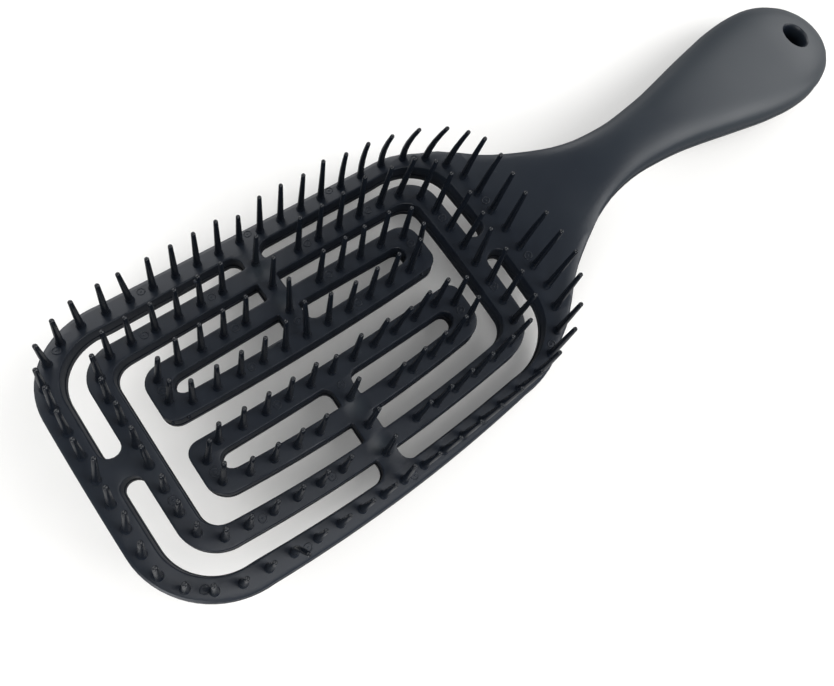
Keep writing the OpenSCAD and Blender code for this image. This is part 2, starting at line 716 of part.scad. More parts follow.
module handle_shell(up) {
  mouth = thick(hole_x, up);
  lay_down() difference() {
    union() {
      difference() {
        half_shell(up);
        cavity();
      }
      intersection() {
        at_hole(up) translate([0, 0, -over]) cylinder(h = mouth, r = hole_r + hole_wall);
        half_shell(up);
      }
    }
    at_hole(up) {
      translate([0, 0, -2 * over]) cylinder(h = mouth + 3 * over, r = hole_r);
      translate([0, 0, mouth - hole_rim])
        cylinder(h = hole_rim + over, r1 = hole_r, r2 = hole_r + hole_rim + over);
    }
  }
}
module handle_front_shell() { front_color() handle_shell(1); }
module handle_back_shell() { back_color() handle_shell(-1); }

tip_rim_strip();
root_rim_strip();
left_rim_strip();
right_rim_strip();
left_tip_rim_corner();
left_root_rim_corner();
right_tip_rim_corner();
right_root_rim_corner();
tip_ring_strip();
root_ring_strip();
left_tip_ring_corner();
left_root_ring_corner();
right_tip_ring_corner();
right_root_ring_corner();
left_ring_tip_strip();
left_ring_root_strip();
right_ring_tip_strip();
right_ring_root_strip();
left_crossbar_strip();
right_crossbar_strip();
tip_bridge_strip();
root_bridge_strip();
left_loop_inner_strip();
left_loop_outer_tip_strip();
left_loop_outer_root_strip();
left_loop_tip_end_strip();
left_loop_root_end_strip();
right_loop_inner_strip();
right_loop_outer_tip_strip();
right_loop_outer_root_strip();
right_loop_tip_end_strip();
right_loop_root_end_strip();
tip_rim_back();
root_rim_back();
left_rim_back();
right_rim_back();
left_tip_rim_corner_back();
left_root_rim_corner_back();
right_tip_rim_corner_back();
right_root_rim_corner_back();
tip_ring_back();
root_ring_back();
left_tip_ring_back();
left_root_ring_back();
right_tip_ring_back();
right_root_ring_back();
left_loop_tip_back();
left_loop_root_back();
right_loop_tip_back();
right_loop_root_back();
left_crossbar_back();
right_crossbar_back();
tip_bridge_back();
root_bridge_back();
handle_front_shell();
handle_back_shell();
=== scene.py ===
import math

import bpy
from mathutils import Matrix, Vector


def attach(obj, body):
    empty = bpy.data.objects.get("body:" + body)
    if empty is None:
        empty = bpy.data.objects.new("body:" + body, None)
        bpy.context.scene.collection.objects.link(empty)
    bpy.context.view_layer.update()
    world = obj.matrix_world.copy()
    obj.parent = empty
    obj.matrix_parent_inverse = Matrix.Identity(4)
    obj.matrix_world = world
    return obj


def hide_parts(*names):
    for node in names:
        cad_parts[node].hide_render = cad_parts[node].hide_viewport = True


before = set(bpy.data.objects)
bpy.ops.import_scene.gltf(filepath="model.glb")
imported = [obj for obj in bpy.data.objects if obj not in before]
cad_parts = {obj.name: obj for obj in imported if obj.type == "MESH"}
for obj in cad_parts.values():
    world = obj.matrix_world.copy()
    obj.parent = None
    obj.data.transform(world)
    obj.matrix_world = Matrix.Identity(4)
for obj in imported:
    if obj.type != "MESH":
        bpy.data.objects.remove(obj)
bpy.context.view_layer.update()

# Camera: where the photographer stood, above the tip's left and looking down along
# the brush, found from the rows of pins and from both edges of the handle.
camera_place = (-0.069638, -0.040512, 0.188107)
camera_turn = [math.radians(a) for a in (13.0434, -2.8158, -35.4029)]


def start_fresh():
    bpy.ops.object.select_all(action="DESELECT")


start_fresh()
bpy.ops.object.camera_add(location=camera_place, rotation=camera_turn)
camera = bpy.context.object
camera.name = "photo_camera"
camera.data.lens = 29.665
camera.data.sensor_width = 36
camera.data.clip_start = 0.01
bpy.context.scene.camera = camera
bpy.context.scene.view_settings.view_transform = "Standard"

# Table: a sheet of white paper under the brush. It is grey to every ray but the
# camera's, so that it doesn't light the brush from below, and away from the brush it
# glows, so that it fades into the white behind it.
table_size, table_z = 6, -0.0002
paper_grey, paper_white = (0.34, 0.34, 0.34, 1), (0.86, 0.85, 0.83, 1)
no_glow, full_glow, glow_at_brush = (0, 0, 0, 1), (1, 0.995, 0.985, 1), 0.1
fade_from, fade_to = 0.3, 1.2


class Wire:
    def __init__(self, tree, socket=None):
        self.tree, self.socket = tree, socket

    def node(self, kind, settings, sockets, out=0):
        made = self.tree.nodes.new("ShaderNode" + kind)
        for name, value in settings.items():
            setattr(made, name, value)
        for name, value in sockets.items():
            if isinstance(value, Wire):
                self.tree.links.new(value.socket, made.inputs[name])
            else:
                made.inputs[name].default_value = value
        return Wire(self.tree, made.outputs[out])

    def maths(self, operation, a, b):
        return self.node("Math", {"operation": operation}, {0: a, 1: b})

    def __add__(self, other):
        return self.maths("ADD", self, other)

    def __sub__(self, other):
        return self.maths("SUBTRACT", self, other)

    def __rsub__(self, other):
        return self.maths("SUBTRACT", other, self)

    def __mul__(self, other):
        return self.maths("MULTIPLY", self, other)

    __radd__ = __add__
    __rmul__ = __mul__

    def between(self, low, high):
        return self.node("MapRange", {"interpolation_type": "SMOOTHSTEP"},
                         {"Value": self, "From Min": low, "From Max": high}, "Result")

    def blend(self, a, b):
        return self.node("Mix", {"data_type": "RGBA"}, {"Factor": self, "A": a, "B": b}, 2)

    def into(self, socket):
        self.tree.links.new(self.socket, socket)


def take(piece, name):
    start_fresh()
    piece.name = name
    piece.data.name = name
    piece.select_set(True)
    bpy.context.view_layer.objects.active = piece
    return piece


start_fresh()
bpy.ops.mesh.primitive_plane_add(size=table_size, location=(0, 0, table_z))
table = take(bpy.context.object, "table")
paper = bpy.data.materials.new("white_paper")
paper.use_nodes = True
sheet = paper.node_tree.nodes["Principled BSDF"]
sheet.inputs["Roughness"].default_value = 0.9
sheet.inputs["Specular IOR Level"].default_value = 0.1
sheet.inputs["Emission Strength"].default_value = 1
start = Wire(paper.node_tree)
seen = start.node("LightPath", {}, {}, "Is Camera Ray")
place = start.node("TexCoord", {}, {}, "Object")
from_brush = start.node("VectorMath", {"operation": "LENGTH"}, {0: place}, "Value")
glow = from_brush.between(fade_from, fade_to) * (1 - glow_at_brush) + glow_at_brush
seen.blend(paper_grey, paper_white).into(sheet.inputs["Base Color"])
(seen * glow).blend(no_glow, full_glow).into(sheet.inputs["Emission Color"])
table.data.materials.append(paper)

# Light: a pale, cool sky, which the camera sees as plain white, and six soft windows
# and boxes that stand round the brush and face it. The strongest is at the near side
# of the tip.
sky_colour, sky_strength = (0.93, 0.96, 1, 1), 0.3
lit_place, window_size = Vector((0, 0, 0.01)), 0.8
windows = [
    ("high_box", (0.7, -0.6, 0.9), 8),
    ("far_window", (0.2, 1.1, 0.5), 8),
    ("root_window", (1.2, 0.1, 0.5), 5.5),
    ("near_root_window", (0.9, -0.8, 0.5), 6.5),
    ("near_tip_window", (-0.9, -0.8, 0.5), 14),
    ("far_tip_window", (-0.8, 0.9, 0.6), 5)]

world = bpy.context.scene.world or bpy.data.worlds.new("studio")
bpy.context.scene.world = world
world.use_nodes = True
start = Wire(world.node_tree)
seen = start.node("LightPath", {}, {}, "Is Camera Ray")
sky = start.node("Background", {}, {"Color": sky_colour, "Strength": sky_strength})
white = start.node("Background", {}, {"Color": (1, 1, 1, 1), "Strength": 1})
either = start.node("MixShader", {}, {0: seen, 1: sky, 2: white})
either.into(world.node_tree.nodes["World Output"].inputs["Surface"])
for name, spot, watts in windows:
    bpy.ops.object.light_add(type="AREA", location=spot)
    light = bpy.context.object
    light.name = name
    light.data.size = window_size
    light.data.energy = watts
    light.rotation_euler = (lit_place - light.location).to_track_quat("-Z", "Y").to_euler()

# How the brush lies: it is modelled as its mould holds it, pins straight up and the
# middle of the pin face at zero, in millimetres. Laid down, it rests on the back edges
# of its rim and on the back of its grip, so every finished mesh is tipped and dropped.
mm = 0.001
tipped = 8.19328
laid_down = (Matrix.Scale(mm, 4) @ Matrix.Translation((-61.3765, 0, 12.3988))
             @ Matrix.Rotation(math.radians(tipped), 4, "Y"))

# Black plastic: one satin black for both mouldings, spark eroded in the mould to a fine grain,
# a little clouded and dusty from use, with soft sink marks on the crossbars that carry a painted
# highlight, and a painted sheen, paler and a little rougher, towards the end of the grip, with
# painted shade kept inside the hanging hole.
front_dark, front_pale, front_rough = (0.0068, 0.0102, 0.0172), (0.0205, 0.0268, 0.033), 0.4
back_dark, back_pale, back_rough = (0.0062, 0.0092, 0.0152), (0.0195, 0.025, 0.0305), 0.43
polished_black = (0.002, 0.0025, 0.0035, 1)
# Weights of the paler colour: painted sheen on the grip, clouding, dust, painted highlight on the
# sink marks, and how far the pins' polish darkens them.
painted_grip_sheen, clouded, dusty, painted_sink_highlight, polished = 0.65, 0.4, 0.5, 0.6, 0.6
cloud_rougher, wear_rougher, polish_smoother = 0.2, 0.05, 0.16
cloud_size, dust_size, grain_size = 20 * mm, 1.3 * mm, 0.3 * mm
dust_from, dust_to = 0.76, 0.8
# The painted sheen grows along the grip between these two places. Inside the first radius from
# the hanging hole's axis it is left out, as painted shade.
sheen_from, sheen_to = -10 * mm, 85 * mm
hole_shade_r, hole_shade_edge_r = 4.2 * mm, 5.2 * mm
hole_x, hole_z, hole_lean = 168.2, 19.07, 4
hole_place = laid_down @ Vector((hole_x, 0, hole_z))
sink_places = [(61.3 * mm, 17 * mm, 0), (61.8 * mm, 28.6 * mm, 0)]
sink_flat_r, sink_r = 0.2 * mm, 4 * mm


def black_plastic(name, dark, pale, rough):
    material = bpy.data.materials.new(name)
    material.use_nodes = True
    shader = material.node_tree.nodes["Principled BSDF"]
    shader.inputs["Specular IOR Level"].default_value = 0.35
    start = Wire(material.node_tree)
    place = start.node("TexCoord", {}, {}, "Object")

    def grain(size, detail):
        return start.node(
            "TexNoise", {}, {"Vector": place, "Scale": 1 / size, "Detail": detail}, "Fac")

    def flattened(point):
        return start.node("VectorMath", {"operation": "MULTIPLY"}, {0: point, 1: (1, 1, 0)})

    cloud = grain(cloud_size, 3)
    dust = grain(dust_size, 1).between(dust_from, dust_to)
    along_brush = start.node("SeparateXYZ", {}, {0: place}, "X")
    in_hole = start.node("Mapping", {"vector_type": "TEXTURE"}, {
        "Vector": place, "Location": hole_place,
        "Rotation": (0, math.radians(tipped + hole_lean), 0)})
    from_axis = start.node(
        "VectorMath", {"operation": "LENGTH"}, {0: flattened(in_hole)}, "Value")
    # Painted sheen: paler towards the end of the grip, with painted shade inside the hanging
    # hole. The same mask makes the grip a little rougher.
    painted_sheen_and_wear = along_brush.between(sheen_from, sheen_to) * from_axis.between(hole_shade_r, hole_shade_edge_r)
    from_middle = flattened(start.node("VectorMath", {"operation": "ABSOLUTE"}, {0: place}))
    # Sink marks: soft dips in the bump, and a painted highlight in the colour over each.
    sink_dips_and_highlights = 0
    for spot in sink_places:
        apart = start.node(
            "VectorMath", {"operation": "DISTANCE"}, {0: from_middle, 1: spot}, "Value")
        sink_dips_and_highlights = sink_dips_and_highlights + (1 - apart.between(sink_flat_r, sink_r))
    polish = start.node("Attribute", {"attribute_name": "polish"}, {}, "Fac")

    paler = painted_sheen_and_wear * painted_grip_sheen + (cloud - 0.35) * clouded + dust * dusty + sink_dips_and_highlights * painted_sink_highlight
    plastic = paler.blend((*dark, 1), (*pale, 1))
    (polish * polished).blend(plastic, polished_black).into(shader.inputs["Base Color"])
    satin = (rough + (cloud - 0.5) * cloud_rougher + painted_sheen_and_wear * wear_rougher
             - polish * polish_smoother)
    satin.into(shader.inputs["Roughness"])
    bump = start.node("Bump", {}, {
        "Strength": 0.12, "Distance": 0.05 * mm, "Height": grain(grain_size, 2)})
    sink = start.node("Bump", {}, {
        "Strength": 1, "Distance": 0.4 * mm, "Height": 1 - sink_dips_and_highlights, "Normal": bump})
    sink.into(shader.inputs["Normal"])
    return material


front_black = black_plastic("front_plastic_black", front_dark, front_pale, front_rough)
back_black = black_plastic("back_plastic_black", back_dark, back_pale, back_rough)

# Head: a front moulding 4 mm deep and a back moulding of 2 mm, welded face to face,
# with one outline and the same nine slots. Both are drawn flat and then bent along the
# brush and crowned across it, and their long ribs bow outwards in the middle.
bend_r, crown_r = 195, 215
bow_r, bow_reach = 450, 41
joint_x = 63.6
widest_x, widest_y, side_r = -7, 42.7, 390
tip_corner_x, tip_corner_r = -39.5, 23
shoulder_x, shoulder_r = 42, 18
neck_ys = [
    (54.73, 34.34), (59.92, 30.86), (62.95, 27.51), (67.93, 21.96), (72.9, 18.22), (78.1, 15),
    (83.94, 11.77), (90, 9.58), (98, 8.55), (105.97, 8.93), (113.93, 9.89), (121.9, 11.41),
    (129.86, 13.09), (138.12, 14.72), (146.09, 16.11), (157, 16.95)]
neck_x, (grip_x, grip_y) = neck_ys[0][0], neck_ys[-1]
end_length, end_reach, end_power = 26.2, 0.9945, 2.2

# The ribs' edges, as the slots see them, out from the middle of the head.
crossbar_half, bridge_half = 3, 2.9
inner_strip_in_y, inner_strip_out_y = 3.1, 8.6
loop_in_x, loop_in_y = 34.8, 14.8
loop_out_x, loop_out_y = 40.6, 20
ring_in_x, ring_in_y = 45.6, 25.5
ring_out_x, ring_out_y = 51.1, 31.1
rim_in_x, rim_in_y = 56.3, 36.1

# Each step is how far in from a slot's edge and from the outer edge the wall stands,
# and how deep under the pin face it is at each. The back's ledge of 0.2 to 0.3 mm
# shows all round the front.
front_steps = [
    (0.45, 1.5, 0, 0), (0.22, 0.9, 0.06, 0.16), (0.06, 0.46, 0.22, 0.6), (0, 0.3, 0.45, 1.2),
    (0, 0.3, 3.8, 3.8), (0.2, 0.5, 4, 4)]
back_steps = [
    (-0.1, 0.1, 4, 4), (-0.2, 0, 4.1, 4.1), (-0.2, 0, 5.55, 5.1), (-0.14, 0.12, 5.78, 5.55),
    (0.02, 0.45, 5.94, 5.88), (0.25, 0.9, 6, 6)]

# Round corners are drawn in so many steps to a millimetre of radius. The flat plates
# are then cut up so that they can bend, and the nudge keeps every cut off the points of
# the drawing.
corner_steps = 1.6
cut_xs = [k * 3.6 for k in range(-17, 18)] + [62.6]
cut_ys = [5.85, 11.7, 17.4, 22.8, 28.3, 33.6, 39.2]
nudge_x, nudge_y = 0.017, 0.013


def face_z(x, y, depth=0):
    across = bend_r + crown_r - math.sqrt((crown_r - depth) ** 2 - y ** 2)
    return bend_r - math.sqrt(across ** 2 - x ** 2)


def along(stations, x):
    k = max([0] + [i for i in range(len(stations) - 1) if x >= stations[i][0]])

    def slope(i):
        if i == len(stations) - 1:
            return 0
        before, after = stations[max(i - 1, 0)], stations[i + 1]
        return (after[1] - before[1]) / (after[0] - before[0])

    (x0, v0), (x1, v1) = stations[k], stations[k + 1]
    step = x1 - x0
    t = (x - x0) / step
    return ((2 * t**3 - 3 * t**2 + 1) * v0 + (t**3 - 2 * t**2 + t) * slope(k) * step
            + (3 * t**2 - 2 * t**3) * v1 + (t**3 - t**2) * slope(k + 1) * step)


def smooth(value, low, high):
    t = min(max((value - low) / (high - low), 0), 1)
    return t * t * (3 - 2 * t)


def rim_edge(x):
    return widest_y - side_r + math.sqrt(side_r**2 - (x - widest_x) ** 2)


def end_round(x):
    if x < grip_x:
        return 1
    return math.sqrt(1 - (end_reach * (x - grip_x) / end_length) ** end_power)


def half_width(x):
    if x < shoulder_x:
        return rim_edge(x)
    if x < neck_x:
        turned = math.sqrt(shoulder_r**2 - (x - shoulder_x) ** 2)
        return rim_edge(shoulder_x) - shoulder_r + turned
    if x < grip_x:
        return along(neck_ys, x)
    return grip_y * end_round(x)


def bow(x):
    return bow_r - math.sqrt(bow_r**2 - min(abs(x), bow_reach) ** 2)


def rounded(corners):
    points = []
    for k, (x, y, r) in enumerate(corners):
        here = Vector((x, y))
        a = (Vector(corners[k - 1][:2]) - here).normalized()
        b = (Vector(corners[(k + 1) % len(corners)][:2]) - here).normalized()
        half = a.angle(b) / 2
        centre = here + (a + b).normalized() * r / math.sin(half)
        start = here + a * r / math.tan(half) - centre
        end = here + b * r / math.tan(half) - centre
        steps = max(3, round(r * corner_steps))
        points += [centre + r * start.slerp(end, s / steps) for s in range(steps + 1)]
    return points


def flipped(points, across, over):
    return [Vector((-p.x if across else p.x, -p.y if over else p.y)) for p in points]


side_xs = [joint_x, 62, 60, 58, 56, 54, 51.5, 49, 46.5, 44, 41, 36, 30, 20, 10, 0]
side_xs += [-10, -20, -30, -36]
upper = [Vector((x, half_width(x))) for x in side_xs]
tip_centre = Vector((tip_corner_x, rim_edge(tip_corner_x) - tip_corner_r))
upper += [tip_centre + tip_corner_r * Vector((-math.sin(a), math.cos(a)))
          for a in [math.pi / 36 * k for k in range(19)]]
upper = [Vector((p.x, p.y + bow(p.x))) for p in upper]
outline = upper + flipped(upper[::-1], False, True)
rim_slot = rounded([
    (crossbar_half, ring_out_y, 0.6), (ring_out_x, ring_out_y, 10),
    (ring_out_x, bridge_half, 2.55), (rim_in_x, bridge_half, 2.55),
    (rim_in_x, rim_in_y, 14.3), (crossbar_half, rim_in_y, 3.2)])
loop_slot = rounded([
    (crossbar_half, inner_strip_out_y, 2.6), (loop_in_x, inner_strip_out_y, 2.4),
    (loop_in_x, loop_in_y, 2.4), (crossbar_half, loop_in_y, 0.6)])
quarter = [
    (loop_out_x, inner_strip_in_y, 3.5), (loop_out_x, loop_out_y, 5),
    (crossbar_half, loop_out_y, 0.6), (crossbar_half, ring_in_y, 0.6),
    (ring_in_x, ring_in_y, 5.5)]
root_half = quarter + [(x, -y, r) for x, y, r in quarter[::-1]]
middle_slot = rounded(root_half + [(-x, -y, r) for x, y, r in root_half])
slots = [middle_slot] + [flipped(s, across, over) for s in (rim_slot, loop_slot)
                         for across in (False, True) for over in (False, True)]


def area(loop):
    return sum(loop[k - 1].cross(loop[k]) for k in range(len(loop)))


def inwards(loop, is_outline):
    ways = []
    for k, here in enumerate(loop):
        step = loop[(k + 1) % len(loop)] - loop[k - 1]
        way = Vector((-step.y, step.x)).normalized()
        if is_outline and here.x > joint_x - 0.1:
            way = Vector((0, math.copysign(1, way.y)))
        ways.append(way)
    return ways


def head_moulding(name, steps):
    loops = [outline if area(outline) > 0 else outline[::-1]]
    loops += [slot if area(slot) < 0 else slot[::-1] for slot in slots]
    edge_points, edge_ways, on_outline = [], [], []
    for k, loop in enumerate(loops):
        edge_points += loop
        edge_ways += inwards(loop, k == 0)
        on_outline += [1 if k == 0 else 0] * len(loop)

    def wall_place(k, step):
        place = edge_points[k] + edge_ways[k] * step[on_outline[k]]
        return Vector((place.x, place.y, -step[2 + on_outline[k]]))

    drawn_at = [wall_place(k, steps[0]).xy for k in range(len(edge_points))]
    flat = bpy.data.curves.new(name, "CURVE")
    flat.dimensions = "2D"
    flat.fill_mode = "BOTH"
    first = 0
    for loop in loops:
        spline = flat.splines.new("POLY")
        spline.points.add(len(loop) - 1)
        spline.use_cyclic_u = True
        for k, point in enumerate(spline.points):
            point.co = (*drawn_at[first + k], 0, 1)
        first += len(loop)
    drawn = bpy.data.objects.new(name, flat)
    bpy.context.scene.collection.objects.link(drawn)
    take(drawn, name)
    bpy.ops.object.convert(target="MESH")
    piece = take(bpy.context.object, name)
    mesh = piece.data

    number = mesh.attributes.new("edge_point", "INT", "POINT")
    for vertex in mesh.vertices:
        number.data[vertex.index].value = min(
            range(len(drawn_at)), key=lambda k: (drawn_at[k] - vertex.co.xy).length_squared)
    for level, step in enumerate(steps):
        if level:
            bpy.ops.object.mode_set(mode="EDIT")
            if level == 1:
                bpy.ops.mesh.select_all(action="SELECT")
            bpy.ops.mesh.extrude_region_move(TRANSFORM_OT_translate={"value": (0, 0, -1)})
            bpy.ops.object.mode_set(mode="OBJECT")
        number = mesh.attributes["edge_point"]
        for vertex in mesh.vertices:
            if vertex.select or level == 0:
                vertex.co = wall_place(number.data[vertex.index].value, step)

    bpy.ops.object.mode_set(mode="EDIT")
    cuts = [((x + nudge_x, 0, 0), (1, 0, 0)) for x in cut_xs]
    cuts += [((0, y + nudge_y, 0), (0, 1, 0)) for y in [0] + cut_ys + [-y for y in cut_ys]]
    for spot, way in cuts:
        bpy.ops.mesh.select_all(action="SELECT")
        bpy.ops.mesh.bisect(plane_co=spot, plane_no=way)
    bpy.ops.mesh.select_all(action="SELECT")
    bpy.ops.mesh.normals_make_consistent(inside=False)
    bpy.ops.object.mode_set(mode="OBJECT")
    mesh.attributes.remove(mesh.attributes["edge_point"])
    for vertex in mesh.vertices:
        x, y, level = vertex.co
        y -= math.copysign(bow(x) * smooth(abs(y), inner_strip_out_y, loop_in_y), y)
        vertex.co = (x, y, face_z(x, y, -level))
    bpy.ops.object.shade_smooth_by_angle(angle=math.radians(25))
    return piece


def finish(piece, material, nodes):
    piece.data.transform(laid_down)
    piece.data.materials.clear()
    piece.data.materials.append(material)
    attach(piece, "root")
    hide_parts(*nodes)


front_nodes = [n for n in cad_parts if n.endswith("_strip") or n.endswith("_corner")]
back_nodes = [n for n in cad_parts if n.endswith("_back")]
head_front = head_moulding("head_front", front_steps)
head_back = head_moulding("head_back", back_steps)
finish(head_back, back_black, back_nodes)

# Pins: 148 of them, one shot of plastic with the front moulding, tapered, with a flared
# foot and a small dimple in the rounded end. They lean along the brush towards its
# middle, get longer towards the handle, and some have been bent or broken in use.
pitch = 6.45
pin_height = 15
pin_rings = [
    (0, 1.25), (1, 1.05), (1.7, 0.94), (5.3, 0.84), (8.7, 0.76), (12.2, 0.66), (15.4, 0.58),
    (15.63, 0.47), (15.7, 0.26), (15.55, 0.05)]
tip_x, root_x = -62.5, 63.6
tip_length, longer_at_root, drop = 14.6, 5.9, 0.7
middle_lean, lean_gain = 3.4, 6.6
polish_from = 0.4


def turned_rod(name, sides, rings):
    height, radius = rings[0]
    start_fresh()
    bpy.ops.mesh.primitive_circle_add(
        vertices=sides, radius=radius, location=(0, 0, height), fill_type="NGON")
    rod = take(bpy.context.object, name)
    bpy.ops.object.mode_set(mode="EDIT")
    bpy.ops.mesh.select_all(action="SELECT")
    for z, r in rings[1:]:
        bpy.ops.mesh.extrude_region_move(TRANSFORM_OT_translate={"value": (0, 0, z - height)})
        bpy.ops.transform.resize(value=(r / radius, r / radius, 1), center_override=(0, 0, z))
        height, radius = z, r
    bpy.ops.mesh.select_all(action="SELECT")
    bpy.ops.mesh.normals_make_consistent(inside=False)
    bpy.ops.object.mode_set(mode="OBJECT")
    return rod


def copy_of(pattern):
    copy = bpy.data.objects.new(pattern.name + "_copy", pattern.data.copy())
    bpy.context.scene.collection.objects.link(copy)
    return copy


def join_to(piece, parts):
    take(piece, piece.name)
    for part in parts:
        part.select_set(True)
    bpy.ops.object.join()


# Where the pins stand on one quarter or one half of the head: rows on the middles of
# the ribs, and an arc round each corner of the rim.
rim_y, ring_y, loop_outer_y, loop_inner_y = 39.25, 28.3, 17.4, 5.85
ring_x = 48.35
corner_x, corner_y, corner_r = 42, 19.84, 17.45
corner_turns = [math.radians(a) for a in (10.5, 31, 51.5, 72)]
rim_side = [(k * pitch, rim_y - bow(k * pitch)) for k in range(-6, 7)]
rim_corner = [(corner_x + corner_r * math.sin(a), corner_y + corner_r * math.cos(a))
              for a in corner_turns]
ring_side = [(k * pitch, ring_y - bow(k * pitch)) for k in (1.8, 2.8, 3.8, 4.8, 5.8)]
ring_corner = [(ring_x - 0.8 * pitch, ring_y - 0.36 * pitch),
               (ring_x - 0.12 * pitch, ring_y - 1.02 * pitch)]
ring_end = [(ring_x, k * pitch) for k in (0.45, 1.45, 2.45)]
loop_outer = [(k * pitch, loop_outer_y - bow(k * pitch)) for k in (1.75, 2.75, 3.75, 4.75)]
loop_end = [(37.41, 8.6), (36.95, 14.8)]
loop_inner = [(k * pitch * 1.015, loop_inner_y) for k in range(-5, 6)]
crossbar = [(0, loop_inner_y + (rim_y - loop_inner_y) * k / 4) for k in (1, 2, 3)]
both_ends = rim_corner + ring_side + ring_corner + ring_end + loop_outer + loop_end
left_places = rim_side + loop_inner + crossbar + both_ends + [(-x, y) for x, y in both_ends]
places = left_places + [(x, -y) for x, y in left_places]
places += [(x, k * pitch) for x in (-59, 60.1) for k in range(-3, 4)]

# Pins bent in use, by their rounded places: first their lean along and across the
# brush in degrees, then, for fewer, the share of the full length that is left and how
# far their middle is bowed along and across, in millimetres.
leans = {
    (-45, 37): (6.6, -2.3), (-51, 35): (9.3, -3.9), (-56, 31): (7, -4.4), (-59, 25): (10.3, -4.2),
    (-59, 19): (11.7, 0), (-59, 13): (10.3, 2.2), (-59, 0): (15.8, 3), (-59, -6): (12, 3),
    (-59, -13): (13.8, 3.2), (-59, -19): (12, 1.7), (-59, -25): (9.5, 2), (-51, -35): (7.6, 2.5),
    (-32, -38): (8.5, -8), (0, -39): (4.5, 4), (45, -37): (-2.5, 1.9), (51, -35): (-1.9, 2.4),
    (56, -31): (-3.3, 2.1), (59, -25): (-0.6, 3.1), (60, -19): (1.5, 1.1), (60, -13): (1.4, 0),
    (60, -6): (0.8, -1.4), (60, 6): (-0.9, -1.5), (60, 13): (1.2, -3.2), (60, 19): (0, -4.4),
    (59, 25): (2, -8), (56, 31): (3, -10.5), (51, 35): (0, -10), (45, 37): (-2.5, -8.5),
    (39, 38): (-2, -5), (32, 38): (-1, -3.6), (19, 39): (1.3, -1.9), (0, 39): (3.4, 0),
    (-32, 38): (2.6, 0), (-48, -3): (7.4, 4.4), (0, 14): (3.2, 5), (0, 31): (2.3, -3),
    (0, -31): (2.7, 2.9), (-37, 15): (10.2, -2.2), (-37, 9): (10.3, -1.2), (-37, -9): (11.4, 2),
    (-37, -15): (9.5, 3.3), (37, 15): (-3.9, -2.8), (37, 9): (-5.6, 0.2), (0, 6): (3.1, 9.4),
    (7, 6): (2.1, 3.2), (-7, 6): (3.5, 3.1), (24, 17): (-1.7, 0), (0, -6): (2.5, 0),
    (13, -6): (5.4, -1.2), (20, -6): (4.6, -3.6), (26, -6): (2.3, -1.7), (33, -6): (-1.4, -1.7),
    (37, -9): (-3.9, 0), (37, -15): (-3.7, 1.7), (48, 3): (0.9, -1.7), (48, 9): (3.2, -2.1),
    (48, 16): (0.8, -1.1), (48, 22): (0.6, -3.2), (43, 26): (3.5, -3.8), (37, 27): (3.4, -1.4),
    (31, 27): (2, 2.6), (48, -3): (-2.1, 2.1), (48, -9): (-1.7, 2.7), (48, -16): (-1.6, 1.9)}
bows = {
    (-32, -38): (1, 0, 1.2), (0, -39): (0.9, 0, 0), (60, -6): (1, -0.12, 0.07),
    (60, 13): (1, -0.12, 0.07), (60, 19): (1, -0.18, 0.1), (59, 25): (0.93, -0.35, 0.21),
    (56, 31): (0.9, -0.58, 0.34), (51, 35): (0.9, -0.7, 0.41), (45, 37): (0.93, -0.58, 0.34),
    (39, 38): (0.97, -0.41, 0.24), (32, 38): (0.98, -0.18, 0.1), (0, 39): (0.8, 0, 0),
    (0, -6): (0.75, 0, 0), (20, -6): (1, -0.18, 0.1)}

pin = turned_rod("pin", 10, pin_rings)
bpy.ops.object.shade_smooth_by_angle(angle=math.radians(50))
polish = pin.data.attributes.new("polish", "FLOAT", "POINT")
for vertex in pin.data.vertices:
    polish.data[vertex.index].value = min(1, max(0, vertex.co.z - polish_from))
pins = []
for x, y in places:
    spot = (round(x), round(y))
    lean, tilt = leans.get(spot, (middle_lean - lean_gain * x / -tip_x, 0))
    share, bow_x, bow_y = bows.get(spot, (1, 0, 0))
    full = tip_length + longer_at_root * (x - tip_x) / (root_x - tip_x)
    length = full * share - drop
    copy = copy_of(pin)
    for vertex in copy.data.vertices:
        up = vertex.co.z / pin_height
        vertex.co.z = length * up
        vertex.co.x += bow_x * 4 * (up - up * up)
        vertex.co.y += bow_y * 4 * (up - up * up)
    upright = Vector((math.tan(math.radians(lean)), math.tan(math.radians(tilt)), 1)).normalized()
    turn = Vector((0, 0, 1)).rotation_difference(upright).to_matrix().to_4x4()
    copy.data.transform(Matrix.Translation((x, y, face_z(x, y))) @ turn)
    pins.append(copy)
bpy.data.objects.remove(pin)
join_to(head_front, pins)

# Ejector marks: rings with a dot, 2.3 mm across, that the mould's own pins left in the
# face of the front moulding, between the rows of bristle pins and on the bridges.
ring_r, ring_thickness, dot_r, dot_flatness = 0.98, 0.17, 0.3, 0.4
mark_places = [
    (-52.6, 33.2), (-28.9, 39), (3.1, 40.2), (29, 39.1), (53.2, 32.6), (60.6, 9.7), (60.6, -9.7),
    (52.5, -32.8), (2.9, -39.9), (-28.9, -38.9), (-52.6, -33.2), (-34, 27.2), (-14.8, 28.4),
    (14.8, 28.4), (34, 27.2), (48.6, 12.9), (48.6, -11.2), (-48.2, -12.6), (-34, -27.2),
    (-14.8, -28.3), (-37.4, 11.8), (-14.3, 17.3), (14.3, 17.3), (37.6, 11.9), (-16.4, 6),
    (16.4, 6), (0.2, 10.4), (-37.4, -11.8), (-16.4, -5.8), (0, -10.2), (37.6, -11.2)]

